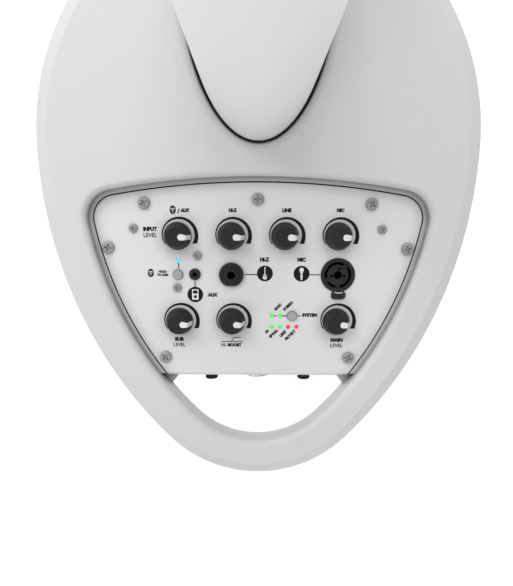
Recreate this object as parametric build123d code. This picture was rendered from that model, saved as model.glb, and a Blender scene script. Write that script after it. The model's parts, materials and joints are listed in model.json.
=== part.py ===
"""Column PA system: a bass base with a mixer panel, and a two-piece loudspeaker column on it.

Millimetres. +Z is up, the listening side faces -Y and the carrying handle is at +Y.
The origin is on the floor, under the middle of the base outline.
"""
import os
from math import cos, radians, sin, sqrt

from build123d import *

# ---- overall sizes ----
TOTAL_HEIGHT = 2050.0
TOP_Z = 600.0                 # top face of the base
SHELL_HEIGHT = 22.0           # the top shell, handle included
SPLIT_Z = TOP_Z - SHELL_HEIGHT
HOUSING_BOTTOM_Z = 12.0
REAR_WALL_Y = 134.5
HOUSING_WALL = 10.0
SEAM = 0.8                    # bevel on both sides of the joint between shell and housing

# ---- plan outlines: tangent arcs (radius, turn in degrees) from the rear tip forwards ----
BASE_ARCS = [(97.8, 45.9), (330.3, 44.66), (178.3, 66.94)]
BASE_REAR_Y = 218.14
POCKET_ARCS = [(68.2, 45.0), (293.0, 34.8), (22.0, 90.0)]
POCKET_REAR_Y = 190.0
EDGE_BEVEL_WIDTH = 9.0
EDGE_BEVEL_DROP = 4.5
HANDLE_EDGE_RADIUS = 4.5

# ---- control panel ----
POCKET_DEPTH = 9.0
PANEL_Z = TOP_Z - POCKET_DEPTH
PANEL_THICKNESS = 2.0
PANEL_LEDGE = 4.5             # ledge between the pocket wall and the panel
PANEL_GAP = 1.1
PANEL_GAP_DEPTH = 4.5
PANEL_BEND_RADIUS = 3.0
PANEL_LIP = 5.0               # short flange over the whole width
PANEL_REAR_Y = REAR_WALL_Y + PANEL_THICKNESS
PANEL_SUPPORT = 15.0
PANEL_FLANGE_BOTTOM_Z = 478.0
PANEL_FLANGE_HALF_WIDTH = 70.0
KNOB_PITCH = 41.3
INPUT_ROW_Y = 24.0
JACK_ROW_Y = 54.1
LEVEL_ROW_Y = 91.2

KNOB_PLACES = {
    "knob_stream_level": (1.5 * KNOB_PITCH, INPUT_ROW_Y),
    "knob_hiz_level": (0.5 * KNOB_PITCH, INPUT_ROW_Y),
    "knob_line_level": (-0.5 * KNOB_PITCH, INPUT_ROW_Y),
    "knob_mic_level": (-1.5 * KNOB_PITCH, INPUT_ROW_Y),
    "knob_sub_level": (1.5 * KNOB_PITCH, LEVEL_ROW_Y),
    "knob_high_boost": (0.5 * KNOB_PITCH, LEVEL_ROW_Y),
    "knob_main_level": (-1.5 * KNOB_PITCH, LEVEL_ROW_Y),
}
KNOB_RADIUS = 10.7
KNOB_TOP_RADIUS = 7.7
KNOB_HEIGHT = 11.0
KNOB_LIFT = 0.8
KNOB_WALL = 1.6
KNOB_ROOF = 3.0
KNOB_HUB_RADIUS = 5.2
SHAFT_RADIUS = 2.95
SHAFT_FIT = 0.05
BUSHING_RADIUS = 3.6

LINK_BUTTON_PLACE = (62.4, 54.0)
SYSTEM_BUTTON_PLACE = (-27.1, 86.8)
BUTTON_RADIUS = 3.6
BUTTON_HEIGHT = 1.6
BUTTON_FIT = 0.08

COMBO_PLACE = (-62.3, JACK_ROW_Y)
COMBO_RADIUS = 13.3
COMBO_WELL_RADIUS = 10.4
COMBO_INSERT_RADIUS = 8.3
COMBO_WELL_DEPTH = 13.0
COMBO_CONTACTS = [(8, 5.0), (172, 5.0), (256, 4.9)]
COMBO_BRIDGES = (25, 90, 230)
COMBO_TAB_PLACE = (-63.1, JACK_ROW_Y + 15.9)
HIZ_PLACE = (20.8, JACK_ROW_Y)
HIZ_NUT_RADIUS = 9.4
AUX_PLACE = (49.2, JACK_ROW_Y - 0.3)
AUX_RADIUS = 4.4
JACK_BORE_RADIUS = 3.2
AUX_BORE_RADIUS = 1.8

LED_RADIUS = 1.6
LED_PITCH = 6.6
LINK_LED_PLACE = (61.7, 42.9)
LED_ROW_X = -10.9
LED_ROWS_Y = (86.6, 95.7)

PANEL_SCREW_PLACES = [
    (0.3, -3.9), (86.9, -0.8), (-86.4, -0.4), (115.6, 33.0), (-115.3, 33.6), (73.7, 120.6), (-72.6, 121.0),
]
PANEL_SCREW_HEAD = 4.45
BOARD_SCREW_PLACES = [(95.7, 18.2), (-95.2, 18.7), (47.0, 39.2), (63.1, 64.4)]
BOARD_SCREW_HEAD = 3.3

# ---- rear wall ----
REAR_JACK_X = 38.8
REAR_JACK_Z = PANEL_Z - 17.6
REAR_NUT_RADIUS = 5.2
REAR_NUT_THICKNESS = 1.6
REAR_BUSH_RADIUS = 4.4
XLR_Z = PANEL_Z - 34.0
REAR_NUT_TOP = 9.6               # from the rear wall
XLR_COLLAR_TOP = 11.4
AMP_PLATE_HALF_WIDTH = 82.0
AMP_PLATE_BOTTOM_Z = 70.0
AMP_PLATE_TOP_Z = 470.0
AMP_PLATE_THICKNESS = 3.0
AMP_PLATE_Y = REAR_WALL_Y
AMP_SCREW_RADIUS = 2.0
AMP_SCREW_DEPTH = 7.0
SINK_BOTTOM_Z = 190.0
SINK_TOP_Z = 446.0
SINK_HALF_WIDTH = 66.0
SINK_FINS = 12
SINK_FIN_DEPTH = 16.0
MAINS_Z = 122.0
MAINS_X = -36.0
ROCKER_X = 38.0
ROCKER_PIVOT_Y = AMP_PLATE_Y + 1.0
ROCKER_TILT = -12.0

# ---- loudspeakers in the base ----
BAFFLE_FRONT_Y = -137.0
BAFFLE_THICKNESS = 15.0
BAFFLE_TOP_Z = 540.0
GRILLE_BOTTOM_Z = 34.0
GRILLE_TOP_Z = 538.0
GRILLE_SHEET = 1.5
WOOFER_HEIGHTS = (148.0, 368.0)
WOOFER_RADIUS = 104.0
WOOFER_HOLE_RADIUS = 93.0
WOOFER_FLANGE = 3.0
WOOFER_DEPTH = 66.0
WOOFER_MAGNET_RADIUS = 62.0
WOOFER_MAGNET_THICKNESS = 34.0
WOOFER_COIL_RADIUS = 19.0
WOOFER_SCREW_CIRCLE = 98.5
CONE_RADIUS = 78.0
CONE_WALL = 1.2
PORT_X = 70.0
PORT_Z = 504.0
PORT_RADIUS = 22.0
PORT_WALL = 3.0
PORT_LENGTH = 120.0

# ---- column ----
COLUMN_AXIS_Y = -163.0        # widest place of the section
COLUMN_FRONT_RADIUS = 139.0
FOOT_HALF_WIDTH = 53.8
FOOT_REAR_Y = -45.9
NECK_HALF_WIDTH = 49.4
NECK_REAR_Y = -49.9
TAPER_HEIGHT = 250.0
COLUMN_CORNER = 7.0
COLUMN_WALL = 4.0
COLUMN_GAP = 1.7
GASKET_THICKNESS = 0.7
GASKET_TOP_Z = TOP_Z - 2.5
SOCKET_RIM_RADIUS = 1.5
SOCKET_FLOOR_Z = 551.0
SOCKET_WALL = 3.0
CONTACT_PLACES = [(-13.5 + 9.0 * column, -131.0 + 10.0 * row) for column in range(4) for row in range(2)]
CONTACT_PIN_RADIUS = 1.4
LOWER_WINDOW_Z = TOP_Z + 12.0
COLUMN_SPLIT_Z = 1300.0
COLUMN_SEAM = 0.6
COLUMN_WINDOW_MARGIN = 9.0
CAP_HEIGHT = 8.0
SPIGOT_HEIGHT = 45.0
SPIGOT_HALF_WIDTH = 30.0
SPIGOT_FIT = 0.4
COLUMN_BAFFLE_Y = -196.0
COLUMN_BAFFLE_THICKNESS = 8.0
MID_COUNT = 6
MID_PITCH = 88.0
MID_RADIUS = 41.5
MID_CONE_RADIUS = 30.5
MID_COIL_RADIUS = 9.5
MID_DEPTH = 30.0
MID_FLANGE = 2.0
MID_MAGNET_RADIUS = 24.0
MID_FIRST_Z = COLUMN_SPLIT_Z + 104.0
TWEETER_HEIGHTS = (COLUMN_SPLIT_Z + 618.0, COLUMN_SPLIT_Z + 680.0)

FOOT_PLACES = [(98.0, -92.0), (-98.0, -92.0), (84.0, 92.0), (-84.0, 92.0)]
FOOT_RADIUS = 17.0


# ---- helpers ----
def egg(arcs, rear_y, inset=0.0):
    """Closed outline of tangent arcs; the last arc is centred on the middle line."""
    point = Vector(0, rear_y - inset)
    heading = 0.0
    half = []
    for radius, turn in arcs:
        direction = (cos(radians(heading)), sin(radians(heading)))
        arc = JernArc(point, direction, radius - inset, -turn)
        half.append(arc)
        point = arc @ 1
        heading -= turn
    direction = (cos(radians(heading)), sin(radians(heading)))
    closing_radius = -point.X / sin(radians(heading))
    half.append(JernArc(point, direction, closing_radius, -(180 + heading)))
    outline = Curve() + half
    outline += mirror(outline, about=Plane.YZ)
    return make_face(outline)


def prism(face, low, high):
    return Pos(0, 0, low) * extrude(face, high - low)


def block(x0, x1, y0, y1, z0, z1):
    size = (x1 - x0, y1 - y0, z1 - z0)
    return Pos((x0 + x1) / 2, (y0 + y1) / 2, (z0 + z1) / 2) * Box(*size)


def disc(radius, low, high):
    return Pos(0, 0, (low + high) / 2) * Cylinder(radius, high - low)


def ring(outer, inner, low, high):
    return disc(outer, low, high) - disc(inner, low - 1, high + 1)


def cone_shell(low_radius, high_radius, low, high, wall):
    height = high - low
    middle = (low + high) / 2
    outer = Pos(0, 0, middle) * Cone(low_radius, high_radius, height)
    inner = Pos(0, 0, middle) * Cone(low_radius - wall, high_radius - wall, height)
    return outer - inner


def to_front(shape, x, y, z):
    """Place a shape built along +Z so that it faces the listener."""
    return Pos(x, y, z) * Rotation(90, 0, 0) * shape


def to_rear(shape, x, y, z):
    """Place a shape built along +Z so that it faces the rear."""
    return Pos(x, y, z) * Rotation(-90, 0, 0) * shape


def on_panel(shape, place):
    return Pos(place[0], place[1], PANEL_Z) * shape


def cross_slot(width, length, depth, top):
    arms = Box(length, width, depth) + Box(width, length, depth)
    return Pos(0, 0, top - depth / 2 + 0.01) * arms


FRONT_Y = egg(BASE_ARCS, BASE_REAR_Y).bounding_box().min.Y
EVERYWHERE = 3000.0


def column_section(half_width, rear_y, inset=0.0):
    """Half an ellipse at the rear, straight flanks and a front that follows the base."""
    width = half_width - inset
    depth = rear_y - COLUMN_AXIS_Y - inset
    radius = COLUMN_FRONT_RADIUS - inset
    front = FRONT_Y + inset
    corner_y = front + radius - sqrt(radius ** 2 - width ** 2)
    rear = EllipticalCenterArc((0, COLUMN_AXIS_Y), width, depth, 0, arc_size=180)
    left = Line((-width, COLUMN_AXIS_Y), (-width, corner_y))
    nose = ThreePointArc((-width, corner_y), (0, front), (width, corner_y))
    right = Line((width, corner_y), (width, COLUMN_AXIS_Y))
    face = make_face(Curve() + [rear, left, nose, right])
    corners = face.vertices().sort_by(Axis.Y)[:2]
    return fillet(corners, max(COLUMN_CORNER - inset, 1.0))


def foot_section(inset=0.0):
    return column_section(FOOT_HALF_WIDTH, FOOT_REAR_Y, inset)


def neck_section(inset=0.0):
    return column_section(NECK_HALF_WIDTH, NECK_REAR_Y, inset)


def notch(margin, low, high):
    """Space for the column's foot, open towards the front."""
    opening = foot_section(-margin)
    width = FOOT_HALF_WIDTH + margin
    return prism(opening, low, high) + block(-width, width, FRONT_Y - 20, COLUMN_AXIS_Y, low, high)


def base_sheet(arcs, rear_y, outer_inset, wall, low, high):
    """Thin band that follows an outline."""
    outside = egg(arcs, rear_y, outer_inset)
    inside = egg(arcs, rear_y, outer_inset + wall)
    return prism(outside, low, high) - prism(inside, low, high)


# ---- casings of the base ----
def top_shell():
    bevel_z = TOP_Z - EDGE_BEVEL_DROP
    outline = egg(BASE_ARCS, BASE_REAR_Y)
    top_outline = egg(BASE_ARCS, BASE_REAR_Y, EDGE_BEVEL_WIDTH)
    shell = prism(outline, SPLIT_Z, bevel_z)
    shell += loft([Pos(0, 0, bevel_z) * outline, Pos(0, 0, TOP_Z) * top_outline], ruled=True)
    shell -= prism(egg(POCKET_ARCS, POCKET_REAR_Y), SPLIT_Z - 1, TOP_Z + 1)
    for end in (-1, 0):
        rim = shell.faces().sort_by(Axis.Z)[end].inner_wires()[0]
        shell = fillet(rim.edges(), HANDLE_EDGE_RADIUS)
    shell = chamfer(shell.faces().sort_by(Axis.Z)[0].outer_wire().edges(), SEAM)
    floor = prism(egg(POCKET_ARCS, POCKET_REAR_Y, -HANDLE_EDGE_RADIUS), SPLIT_Z, PANEL_Z)
    shell += floor & block(-EVERYWHERE, EVERYWHERE, -EVERYWHERE, REAR_WALL_Y, SPLIT_Z, PANEL_Z)
    shell += handle_gussets()
    ledge_inset = PANEL_LEDGE - PANEL_GAP
    shell -= prism(egg(POCKET_ARCS, POCKET_REAR_Y, ledge_inset), PANEL_Z - PANEL_THICKNESS, TOP_Z)
    groove = base_sheet(
        POCKET_ARCS, POCKET_REAR_Y, ledge_inset, PANEL_GAP + 0.4, PANEL_Z - PANEL_GAP_DEPTH, PANEL_Z
    )
    shell -= groove & block(-EVERYWHERE, EVERYWHERE, -EVERYWHERE, REAR_WALL_Y - 2, 0, EVERYWHERE)
    shell -= shell_underside()
    in_front = block(-EVERYWHERE, EVERYWHERE, -EVERYWHERE, REAR_WALL_Y - 9, SPLIT_Z - 1, TOP_Z)
    throat = egg(POCKET_ARCS, POCKET_REAR_Y, PANEL_LEDGE + PANEL_SUPPORT)
    shell -= prism(throat, SPLIT_Z - 1, PANEL_Z) & in_front
    socket_room = REAR_JACK_X + 12
    shell -= block(-socket_room, socket_room, REAR_WALL_Y - 10, REAR_WALL_Y + 1, SPLIT_Z - 1, PANEL_Z)
    shell -= notch(COLUMN_GAP, SPLIT_Z - 1, TOP_Z + 1)
    rim_middle = (0, FOOT_REAR_Y + COLUMN_GAP, TOP_Z)
    shell = fillet(shell.edges().sort_by_distance(rim_middle)[0], SOCKET_RIM_RADIUS)
    shell -= screw_holes(PANEL_SCREW_PLACES, 1.6)
    return shell


def handle_gussets():
    """Small webs that close the corners between the rear wall and the handle arms."""
    web_low = SPLIT_Z
    web_high = SPLIT_Z + 7.0
    webs = Part()
    for side in (1, -1):
        corners = [(62.5, REAR_WALL_Y), (64.7, 137.8), (70.2, 145.2), (78.0, 150.0), (88.0, REAR_WALL_Y)]
        outline = Polyline([(side * x, y) for x, y in corners], close=True)
        webs += prism(make_face(outline), web_low, web_high)
    half = PANEL_FLANGE_HALF_WIDTH + 0.3
    return webs - block(-half, half, REAR_WALL_Y, PANEL_REAR_Y + 0.2, web_low, web_high)


def shell_underside():
    """Space under the deck that leaves walls about 4 mm thick."""
    skin = 4.0
    web = 5.0
    inside = egg(BASE_ARCS, BASE_REAR_Y, HOUSING_WALL)
    space = prism(inside, SPLIT_Z - 1, TOP_Z - skin)
    space &= block(-EVERYWHERE, EVERYWHERE, -EVERYWHERE, REAR_WALL_Y - web, SPLIT_Z - 1, TOP_Z)
    floor_z = PANEL_Z - PANEL_THICKNESS - skin
    space -= prism(egg(POCKET_ARCS, POCKET_REAR_Y, -web), floor_z, TOP_Z)
    space -= notch(COLUMN_GAP + skin, SPLIT_Z - 1, TOP_Z)
    return space


def screw_holes(places, radius):
    holes = Part()
    for place in places:
        holes += on_panel(disc(radius, -9, 0.5), place)
    return holes


def base_housing():
    front_part = block(-EVERYWHERE, EVERYWHERE, -EVERYWHERE, REAR_WALL_Y, 0, EVERYWHERE)
    body = prism(egg(BASE_ARCS, BASE_REAR_Y), HOUSING_BOTTOM_Z, SPLIT_Z) & front_part
    body = fillet(body.edges().filter_by(Axis.Z).group_by(Axis.Y)[-1], 12)
    body = chamfer(body.faces().sort_by(Axis.Z)[-1].outer_wire().edges(), SEAM)
    body = chamfer(body.faces().sort_by(Axis.Z)[0].outer_wire().edges(), 3)
    inner_rear = REAR_WALL_Y - HOUSING_WALL
    inside = prism(egg(BASE_ARCS, BASE_REAR_Y, HOUSING_WALL), HOUSING_BOTTOM_Z + HOUSING_WALL, SPLIT_Z + 1)
    inside &= block(-EVERYWHERE, EVERYWHERE, -EVERYWHERE, inner_rear, 0, EVERYWHERE)
    body -= inside
    body -= block(-EVERYWHERE, EVERYWHERE, -EVERYWHERE, BAFFLE_FRONT_Y, GRILLE_BOTTOM_Z, GRILLE_TOP_Z)
    body -= notch(COLUMN_GAP, SOCKET_FLOOR_Z - SOCKET_WALL, SPLIT_Z + 1)
    body -= socket_outside(SPLIT_Z + 1)
    rear_low = REAR_WALL_Y - HOUSING_WALL - 1
    body -= block(-52, 52, rear_low, REAR_WALL_Y + 1, PANEL_FLANGE_BOTTOM_Z + 30, SPLIT_Z + 1)
    plate_half = AMP_PLATE_HALF_WIDTH - 12
    body -= block(
        -plate_half, plate_half, rear_low, REAR_WALL_Y + 1, AMP_PLATE_BOTTOM_Z + 14, AMP_PLATE_TOP_Z - 14
    )
    return body - at_amplifier_screws(disc(AMP_SCREW_RADIUS, -AMP_SCREW_DEPTH, 1))


def base_feet():
    feet = Part()
    for x, y in FOOT_PLACES:
        foot = disc(FOOT_RADIUS, 0, HOUSING_BOTTOM_Z)
        foot = chamfer(foot.edges().group_by(Axis.Z)[0], 2)
        foot -= disc(4.0, -1, 4)
        feet += Pos(x, y, 0) * foot
    return feet


def socket_outside(high):
    tub = notch(COLUMN_GAP + SOCKET_WALL, SOCKET_FLOOR_Z - SOCKET_WALL, high)
    return tub & block(-EVERYWHERE, EVERYWHERE, FRONT_Y + 12, EVERYWHERE, 0, EVERYWHERE)


def column_socket():
    """Tub under the deck that the column stands in, with its contact block."""
    tub = socket_outside(SPLIT_Z) - notch(COLUMN_GAP, SOCKET_FLOOR_Z, SPLIT_Z + 1)
    contact = block(-22, 22, -140, -112, SOCKET_FLOOR_Z - SOCKET_WALL, SOCKET_FLOOR_Z + 12)
    contact = fillet(contact.edges().filter_by(Axis.Z), 4)
    for x, y in CONTACT_PLACES:
        hole = disc(CONTACT_PIN_RADIUS + 0.4, SOCKET_FLOOR_Z + 2, SOCKET_FLOOR_Z + 13)
        contact -= Pos(x, y, 0) * hole
    return tub + contact


def socket_gasket():
    """Rubber band on the wall of the opening that the column stands in."""
    band = notch(COLUMN_GAP, SPLIT_Z, GASKET_TOP_Z)
    band -= notch(COLUMN_GAP - GASKET_THICKNESS, SPLIT_Z - 1, TOP_Z)
    return band & prism(egg(BASE_ARCS, BASE_REAR_Y, EDGE_BEVEL_WIDTH + 3), SPLIT_Z, TOP_Z)


# ---- loudspeakers in the base ----
def inside_housing(inset, low_y, high_y, low_z, high_z):
    """Slab cut to the inner wall of the housing."""
    slab = prism(egg(BASE_ARCS, BASE_REAR_Y, HOUSING_WALL + inset), low_z, high_z)
    return slab & block(-EVERYWHERE, EVERYWHERE, low_y, high_y, low_z, high_z)


def front_baffle():
    rear = BAFFLE_FRONT_Y + BAFFLE_THICKNESS
    board = inside_housing(0.2, BAFFLE_FRONT_Y, rear, HOUSING_BOTTOM_Z + HOUSING_WALL, BAFFLE_TOP_Z)
    for z in WOOFER_HEIGHTS:
        board -= to_front(disc(WOOFER_HOLE_RADIUS, -30, 30), 0, BAFFLE_FRONT_Y, z)
        board -= to_front(around_woofer(disc(2.5, -BAFFLE_THICKNESS + 3, 1)), 0, BAFFLE_FRONT_Y, z)
    for side in (1, -1):
        board -= to_front(disc(PORT_RADIUS + PORT_WALL, -30, 30), side * PORT_X, BAFFLE_FRONT_Y, PORT_Z)
    return board


def port_tubes():
    tubes = Part()
    flare = 3.0
    for side in (1, -1):
        tube = ring(PORT_RADIUS + PORT_WALL, PORT_RADIUS, -PORT_LENGTH, 0)
        tube += ring(PORT_RADIUS + PORT_WALL + 5, PORT_RADIUS, 0, flare)
        tubes += to_front(tube, side * PORT_X, BAFFLE_FRONT_Y, PORT_Z)
    return tubes


def base_grille():
    low = GRILLE_BOTTOM_Z + 0.3
    high = GRILLE_TOP_Z - 0.3
    sheet = base_sheet(BASE_ARCS, BASE_REAR_Y, 0.0, GRILLE_SHEET, low, high)
    return sheet & block(-EVERYWHERE, EVERYWHERE, -EVERYWHERE, BAFFLE_FRONT_Y - 0.3, low, high)


def grille_frame():
    depth = 6.0
    low = GRILLE_BOTTOM_Z + 0.3
    high = GRILLE_TOP_Z - 0.3
    inset = GRILLE_SHEET + 0.2
    band = base_sheet(BASE_ARCS, BASE_REAR_Y, inset, depth, low, high)
    band &= block(-EVERYWHERE, EVERYWHERE, -EVERYWHERE, BAFFLE_FRONT_Y - 0.3, low, high)
    post_y = BAFFLE_FRONT_Y - 10
    hoop = 7.0
    middle = (WOOFER_HEIGHTS[0] + WOOFER_HEIGHTS[1]) / 2
    band -= block(-EVERYWHERE, EVERYWHERE, -EVERYWHERE, post_y, low + hoop, middle - hoop / 2)
    band -= block(-EVERYWHERE, EVERYWHERE, -EVERYWHERE, post_y, middle + hoop / 2, high - hoop)
    return band


def driver_frame(radius, hole_radius, depth, magnet_radius, flange):
    """Round frame with windows; its front is at +Z and the flange sits on z = 0."""
    wall = 2.5
    frame = ring(radius, hole_radius - 5, 0, flange)
    basket = cone_shell(magnet_radius, hole_radius - 1, -depth, 0, wall)
    windows = Part()
    opening = 0.34 * hole_radius
    for index in range(6):
        wedge = block(0, radius, -opening, opening, -depth + 8, -10)
        windows += Rotation(0, 0, 60 * index) * wedge
    basket -= windows
    frame += basket
    frame += ring(magnet_radius, magnet_radius * 0.42, -depth, -depth + 4)
    return frame


def driver_magnet(radius, coil_radius, thickness):
    """Magnet with the gap for the voice coil, front face at z = 0."""
    magnet = disc(radius, -thickness, 0)
    magnet -= ring(coil_radius + 1.2, coil_radius - 1.4, -thickness + 7, 1)
    edges = magnet.edges().filter_by(GeomType.CIRCLE).sort_by(Axis.Z)
    return chamfer(edges[0], 2)


def driver_surround(inner, outer, flange, thickness):
    """Rubber half roll around a cone, glued to the flange at z = flange."""
    middle = (inner + outer) / 2
    roll_radius = (outer - inner) / 2
    roll = Torus(middle, roll_radius) - Torus(middle, roll_radius - thickness)
    roll &= disc(outer + 10, 0, 30)
    roll = Pos(0, 0, flange) * roll
    return roll + ring(outer + 4, outer - thickness, flange, flange + thickness)


def driver_cone(radius, coil_radius, depth, coil_length, front):
    """Paper cone with dust cap and voice coil former."""
    wall = CONE_WALL
    cone = cone_shell(coil_radius + wall, radius, front - depth, front, wall)
    cap_radius = radius * 0.42
    cap_height = radius * 0.12
    sphere_radius = (cap_radius ** 2 + cap_height ** 2) / (2 * cap_height)
    share = (cap_radius - coil_radius) / (radius - coil_radius)
    cap_z = front - depth + share * depth
    centre = cap_z + cap_height - sphere_radius
    dome = Pos(0, 0, centre) * (Sphere(sphere_radius) - Sphere(sphere_radius - wall))
    dome &= disc(cap_radius, cap_z - 0.5, cap_z + cap_height + 1)
    former = ring(coil_radius + 0.4, coil_radius - 0.4, front - depth - coil_length, front - depth + 1)
    return cone + dome + former


def woofer_frame(z):
    frame = driver_frame(
        WOOFER_RADIUS, WOOFER_HOLE_RADIUS, WOOFER_DEPTH, WOOFER_MAGNET_RADIUS, WOOFER_FLANGE
    )
    frame -= around_woofer(disc(2.6, -1, WOOFER_FLANGE + 1))
    return to_front(frame, 0, BAFFLE_FRONT_Y, z)


def around_woofer(shape):
    group = Part()
    for index in range(8):
        group += Rotation(0, 0, 22.5 + 45 * index) * Pos(WOOFER_SCREW_CIRCLE, 0, 0) * shape
    return group


def woofer_magnets():
    group = Part()
    for z in WOOFER_HEIGHTS:
        magnet = driver_magnet(WOOFER_MAGNET_RADIUS, WOOFER_COIL_RADIUS, WOOFER_MAGNET_THICKNESS)
        group += to_front(Pos(0, 0, -WOOFER_DEPTH) * magnet, 0, BAFFLE_FRONT_Y, z)
    return group


def woofer_surrounds():
    group = Part()
    for z in WOOFER_HEIGHTS:
        roll = driver_surround(CONE_RADIUS + 0.3, WOOFER_HOLE_RADIUS - 5, WOOFER_FLANGE, 1.2)
        group += to_front(roll, 0, BAFFLE_FRONT_Y, z)
    return group


def woofer_cone(z):
    cone = driver_cone(CONE_RADIUS, WOOFER_COIL_RADIUS, 38, 45, WOOFER_FLANGE + 1.5)
    return to_front(cone, 0, BAFFLE_FRONT_Y, z)


def woofer_screws():
    screws = Part()
    top = WOOFER_FLANGE
    head = disc(4.2, top, top + 2.4) + disc(2.5, -BAFFLE_THICKNESS + 3, top)
    head -= cross_slot(1.0, 4.4, 1.4, top + 2.4)
    for z in WOOFER_HEIGHTS:
        screws += to_front(around_woofer(head), 0, BAFFLE_FRONT_Y, z)
    return screws


# ---- electronics ----
def control_panel():
    """Bent plate: the mixer face and the flange with the rear sockets."""
    face = egg(POCKET_ARCS, POCKET_REAR_Y, PANEL_LEDGE)
    plate = prism(face, PANEL_Z - PANEL_THICKNESS, PANEL_Z)
    plate &= block(-EVERYWHERE, EVERYWHERE, -EVERYWHERE, PANEL_REAR_Y, 0, EVERYWHERE)
    half = PANEL_FLANGE_HALF_WIDTH
    rear_strip = block(-EVERYWHERE, EVERYWHERE, REAR_WALL_Y, PANEL_REAR_Y, 0, EVERYWHERE)
    plate += prism(face, PANEL_Z - PANEL_LIP, PANEL_Z) & rear_strip
    plate += block(-half, half, REAR_WALL_Y, PANEL_REAR_Y, PANEL_FLANGE_BOTTOM_Z, PANEL_Z)
    bend = plate.edges().filter_by(Axis.X).sort_by(lambda edge: edge.center().Z + edge.center().Y)[-1]
    plate = fillet(bend, PANEL_BEND_RADIUS)
    plate -= panel_cutouts()
    for side in (1, -1):
        plate -= to_rear(disc(5.0, -9, 9), side * REAR_JACK_X, REAR_WALL_Y, REAR_JACK_Z)
    plate -= to_rear(disc(11.8, -9, 9), 0, REAR_WALL_Y, XLR_Z)
    return plate


def panel_cutouts():
    holes = Part()
    for place in KNOB_PLACES.values():
        holes += on_panel(disc(BUSHING_RADIUS + 0.1, -9, 9), place)
    for place in (LINK_BUTTON_PLACE, SYSTEM_BUTTON_PLACE):
        holes += on_panel(disc(BUTTON_RADIUS + BUTTON_FIT, -9, 9), place)
    for place in led_places():
        holes += on_panel(disc(LED_RADIUS + 0.05, -9, 9), place)
    holes += on_panel(disc(11.9, -9, 9), COMBO_PLACE)
    holes += Pos(0, 0, PANEL_Z) * combo_tab_block(0.2, -9, 9)
    holes += on_panel(disc(5.0, -9, 9), HIZ_PLACE)
    holes += on_panel(disc(3.5, -9, 9), AUX_PLACE)
    holes += screw_holes(PANEL_SCREW_PLACES, 2.2)
    holes += screw_holes(BOARD_SCREW_PLACES, 1.7)
    return holes


def led_places():
    upper = [(LED_ROW_X - LED_PITCH * index, LED_ROWS_Y[0]) for index in range(2)]
    lower = [(LED_ROW_X - LED_PITCH * index, LED_ROWS_Y[1]) for index in range(4)]
    return [LINK_LED_PLACE] + upper + lower


def leds(places):
    group = Part()
    for place in places:
        lens = disc(LED_RADIUS, -5, 0.3)
        lens = fillet(lens.edges().group_by(Axis.Z)[-1], 0.28)
        lens += disc(LED_RADIUS + 0.6, -5, -PANEL_THICKNESS - 0.3)
        group += on_panel(lens, place)
    return group


def pan_head_screws(places, head_radius, head_height, thread_radius, length):
    group = Part()
    for number, place in enumerate(places):
        head = disc(head_radius, 0, head_height)
        head = fillet(head.edges().group_by(Axis.Z)[-1], head_height * 0.6)
        head -= cross_slot(head_radius * 0.32, head_radius * 1.25, head_height * 0.85, head_height)
        screw = head + disc(thread_radius, -length, 0)
        group += on_panel(Rotation(0, 0, 27 * number) * screw, place)
    return group


def knob():
    """Tapered hollow knob with a hub and a stub shaft."""
    low = KNOB_LIFT
    high = KNOB_LIFT + KNOB_HEIGHT
    middle = Pos(0, 0, (low + high) / 2)
    body = middle * Cone(KNOB_RADIUS, KNOB_TOP_RADIUS, KNOB_HEIGHT)
    body = fillet(body.edges().group_by(Axis.Z)[-1], 0.9)
    cavity = middle * Cone(KNOB_RADIUS - KNOB_WALL, KNOB_TOP_RADIUS - KNOB_WALL, KNOB_HEIGHT)
    body -= cavity & ring(KNOB_RADIUS, KNOB_HUB_RADIUS, low, high - KNOB_ROOF)
    body += disc(SHAFT_RADIUS, -10, low + 1)
    return body


def potentiometers():
    group = Part()
    for place in KNOB_PLACES.values():
        pot = ring(BUSHING_RADIUS, SHAFT_RADIUS + SHAFT_FIT, -PANEL_THICKNESS - 1, 0.6)
        can = block(-8.5, 8.5, -8.5, 8.5, -PANEL_THICKNESS - 9, -PANEL_THICKNESS - 0.2)
        can = fillet(can.edges().filter_by(Axis.Z), 2)
        can -= disc(SHAFT_RADIUS + SHAFT_FIT, -10.5, 0)
        group += on_panel(pot + can, place)
    return group


def push_button():
    cap = disc(BUTTON_RADIUS, -PANEL_THICKNESS - 1.5, BUTTON_HEIGHT)
    cap = fillet(cap.edges().group_by(Axis.Z)[-1], 0.5)
    flange = disc(BUTTON_RADIUS + 1.0, -PANEL_THICKNESS - 1.5, -PANEL_THICKNESS - 0.3)
    return cap + flange


def combo_jack():
    """Microphone and jack input: flange, round well and three-hole insert on three bridges."""
    depth = 22.0
    body = disc(COMBO_RADIUS, 0, 0.9)
    body = chamfer(body.edges().group_by(Axis.Z)[-1], 0.4)
    body += disc(11.7, -depth, 0.5)
    body -= disc(COMBO_WELL_RADIUS, -COMBO_WELL_DEPTH, 2)
    insert = disc(COMBO_INSERT_RADIUS, -COMBO_WELL_DEPTH - 1, 0.4)
    body += fillet(insert.edges().group_by(Axis.Z)[-1], 0.4)
    for angle in COMBO_BRIDGES:
        body += Rotation(0, 0, angle) * block(7.5, 10.8, -1.7, 1.7, -COMBO_WELL_DEPTH - 1, -0.4)
    body -= disc(JACK_BORE_RADIUS, -16, 2)
    for angle, radius in COMBO_CONTACTS:
        body -= Rotation(0, 0, angle) * Pos(radius, 0, 0) * disc(1.1, -12, 2)
    body -= Pos(-COMBO_PLACE[0], -COMBO_PLACE[1], 0) * combo_tab_block(0.2, -30, 3)
    return on_panel(body, COMBO_PLACE)


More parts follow.
